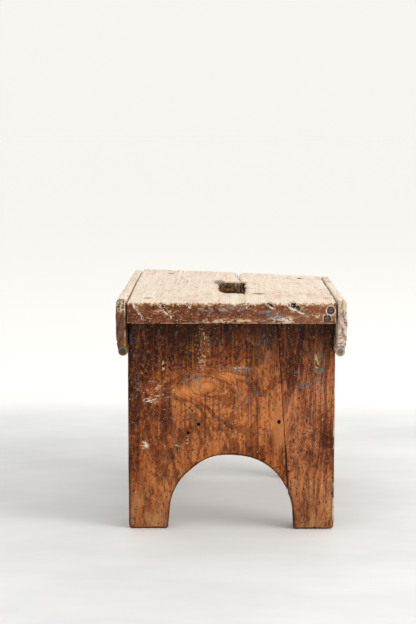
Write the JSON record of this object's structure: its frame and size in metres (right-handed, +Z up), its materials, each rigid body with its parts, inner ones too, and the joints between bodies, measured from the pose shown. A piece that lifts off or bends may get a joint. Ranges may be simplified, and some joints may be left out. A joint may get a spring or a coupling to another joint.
{
  "type": "milking stool",
  "caption": "Low rectangular milking stool: a slotted plank seat on arched end boards, with a beaded apron nailed along each side.",
  "frame": {"origin": "on the floor, at the middle of the stool's box", "axes": "+X to the right, +Y from the front end of the seat to the rear end (the long way), +Z up"},
  "size_m": [0.2364, 0.31, 0.249],
  "materials": {
    "seat_pine": "bleached, scrubbed softwood with the rest of a red-brown paint on its end",
    "leg_pine": "worn orange-brown varnish with dark grime and flecks of old paint",
    "apron_pine": "worn brown varnish, bare on the edges",
    "nail_iron": "dull, rusted"
  },
  "bodies": {
    "root": {"seat_board": "seat_pine", "front_leg_wide_board": "leg_pine", "front_leg_narrow_board": "leg_pine", "rear_leg_wide_board": "leg_pine", "rear_leg_narrow_board": "leg_pine", "left_apron": "apron_pine", "right_apron": "apron_pine", "seat_nails_front": "nail_iron", "seat_nails_rear": "nail_iron", "left_apron_leg_nails": "nail_iron", "right_apron_leg_nails": "nail_iron", "left_apron_seat_nails": "nail_iron", "right_apron_seat_nails": "nail_iron", "seat_corner_nails": "nail_iron"}
  },
  "joints": []
}
